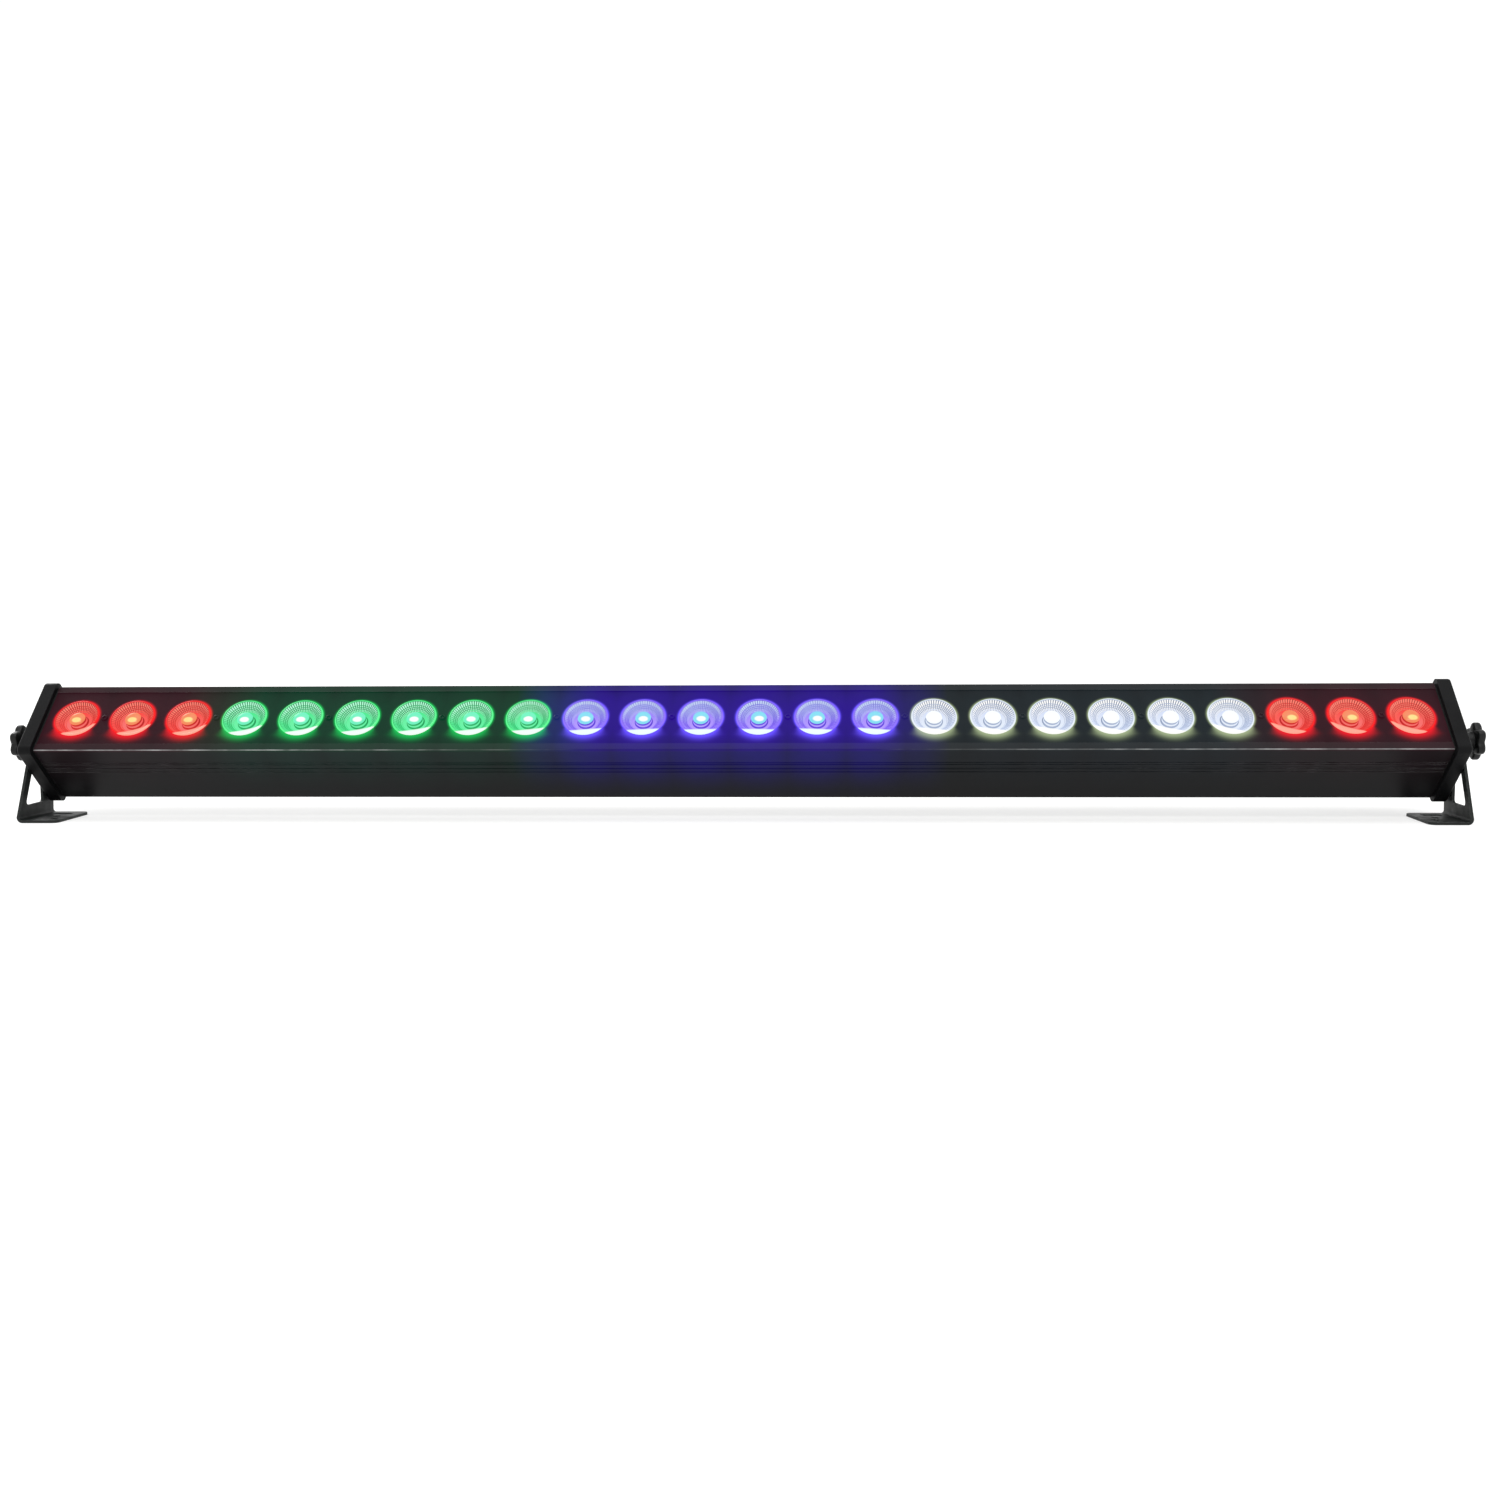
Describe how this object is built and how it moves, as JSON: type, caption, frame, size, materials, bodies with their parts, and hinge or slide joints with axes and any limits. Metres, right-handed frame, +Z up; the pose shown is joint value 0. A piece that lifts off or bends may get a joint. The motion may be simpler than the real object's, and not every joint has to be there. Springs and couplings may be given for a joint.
{
  "type": "led strip batten",
  "caption": "Long black stage light bar: a lit face of round lenses in colour zones, square end caps, star knobs and L-shaped floor brackets.",
  "frame": {"origin": "on the floor, straight under the centre of the body and midway between its ends", "axes": "+X along the bar, +Z up, the lit face leans back and looks towards -Y"},
  "size_m": [1.0592, 0.0874, 0.0983],
  "materials": {
    "anodised_black": "satin black anodised extrusion",
    "panel_black": "satin black painted sheet",
    "screw_steel": "zinc plated",
    "brass": "turned",
    "lens_red": "clear faceted lens, lit red",
    "lens_green": "clear faceted lens, lit green",
    "lens_blue": "clear faceted lens, lit blue",
    "lens_white": "clear faceted lens, lit cool white",
    "board_white": "white solder mask",
    "emitter": "glossy",
    "black_plastic": "fine textured moulding",
    "grey_plastic": "satin moulding",
    "bare_aluminium": "mill",
    "card_green": "green solder mask",
    "component": "moulded and wound parts",
    "window_red": "polished dark red",
    "contact_metal": "nickel plated",
    "wire": "insulation",
    "rubber": "matt",
    "bracket_paint": "fine grey-black powder coat"
  },
  "bodies": {
    "batten": {"housing": "anodised_black", "front_panel": "panel_black", "front_panel_screws": "screw_steel", "panel_posts": "brass", "lens_section_1": "lens_red", "lens_section_2": "lens_green", "lens_section_3": "lens_green", "lens_section_4": "lens_blue", "lens_section_5": "lens_blue", "lens_section_6": "lens_white", "lens_section_7": "lens_white", "lens_section_8": "lens_red", "led_board_1": "board_white", "led_board_2": "board_white", "led_board_3": "board_white", "led_board_4": "board_white", "lens_holders": "black_plastic", "led_emitters": "emitter", "heat_spreader": "bare_aluminium", "led_wiring": "wire", "supply_card": "card_green", "supply_parts": "component", "control_card": "card_green", "control_parts": "black_plastic", "card_standoffs": "brass", "display_module": "black_plastic", "display_window": "window_red", "button_switches": "contact_metal", "mains_inlet": "black_plastic", "mains_outlet": "black_plastic", "mains_wiring": "wire", "signal_inlet": "black_plastic", "signal_outlet": "black_plastic", "signal_wiring": "wire", "connector_contacts": "contact_metal", "connector_screws": "screw_steel", "end_cap_left": "black_plastic", "end_cap_right": "black_plastic", "end_gasket_left": "rubber", "end_gasket_right": "rubber", "end_cap_screws": "screw_steel", "thread_insert_left": "brass", "thread_insert_right": "brass", "friction_washer_left": "rubber", "friction_washer_right": "rubber"},
    "left_bracket": {"bracket_left": "bracket_paint"},
    "left_clamp_washer": {"knob_washer_left": "screw_steel"},
    "left_clamp_knob": {"knob_left": "black_plastic", "knob_stud_left": "screw_steel"},
    "right_bracket": {"bracket_right": "bracket_paint"},
    "right_clamp_washer": {"knob_washer_right": "screw_steel"},
    "right_clamp_knob": {"knob_right": "black_plastic", "knob_stud_right": "screw_steel"},
    "key_1": {"button_1": "grey_plastic"},
    "key_2": {"button_2": "grey_plastic"},
    "key_3": {"button_3": "grey_plastic"},
    "key_4": {"button_4": "grey_plastic"},
    "fuse_carrier": {"fuse_drawer": "grey_plastic", "fuse": "contact_metal"},
    "latch": {"signal_latch": "contact_metal"}
  },
  "joints": [
    {"name": "left_bracket_tilt", "type": "hinge", "parent": "batten", "child": "left_bracket", "pos_m": [-0.5116, -0.006, 0.0545], "axis": [1, 0, 0], "range_deg": [-180, 180]},
    {"name": "left_clamp_travel", "type": "slide", "parent": "batten", "child": "left_clamp_washer", "axis": [-1, 0, 0], "range_m": [0, 0.00375]},
    {"name": "left_knob_turn", "type": "hinge", "parent": "left_clamp_washer", "child": "left_clamp_knob", "pos_m": [-0.52, -0.006, 0.0545], "axis": [-1, 0, 0], "range_deg": [0, 1080]},
    {"name": "right_bracket_tilt", "type": "hinge", "parent": "batten", "child": "right_bracket", "pos_m": [0.5116, -0.006, 0.0545], "axis": [1, 0, 0], "range_deg": [-180, 180]},
    {"name": "right_clamp_travel", "type": "slide", "parent": "batten", "child": "right_clamp_washer", "axis": [1, 0, 0], "range_m": [0, 0.00375]},
    {"name": "right_knob_turn", "type": "hinge", "parent": "right_clamp_washer", "child": "right_clamp_knob", "pos_m": [0.52, -0.006, 0.0545], "axis": [1, 0, 0], "range_deg": [0, 1080]},
    {"name": "button_1_press", "type": "slide", "parent": "batten", "child": "key_1", "axis": [0, -0.7193, 0.6947], "range_m": [0, 0.0008], "stiffness_N_per_m": 1500, "springref_m": -0.0006},
    {"name": "button_2_press", "type": "slide", "parent": "batten", "child": "key_2", "axis": [0, -0.7193, 0.6947], "range_m": [0, 0.0008], "stiffness_N_per_m": 1500, "springref_m": -0.0006},
    {"name": "button_3_press", "type": "slide", "parent": "batten", "child": "key_3", "axis": [0, -0.7193, 0.6947], "range_m": [0, 0.0008], "stiffness_N_per_m": 1500, "springref_m": -0.0006},
    {"name": "button_4_press", "type": "slide", "parent": "batten", "child": "key_4", "axis": [0, -0.7193, 0.6947], "range_m": [0, 0.0008], "stiffness_N_per_m": 1500, "springref_m": -0.0006},
    {"name": "fuse_drawer_pull", "type": "slide", "parent": "batten", "child": "fuse_carrier", "axis": [0, 0.7193, -0.6947], "range_m": [0, 0.016]},
    {"name": "signal_latch_press", "type": "slide", "parent": "batten", "child": "latch", "axis": [0, -0.7193, 0.6947], "range_m": [0, 0.0012], "stiffness_N_per_m": 1200, "springref_m": -0.0006}
  ],
  "couplings": [
    {"joint": "left_knob_turn", "follows": "left_clamp_travel", "rad_per_m": 5026.5},
    {"joint": "right_knob_turn", "follows": "right_clamp_travel", "rad_per_m": 5026.5}
  ]
}
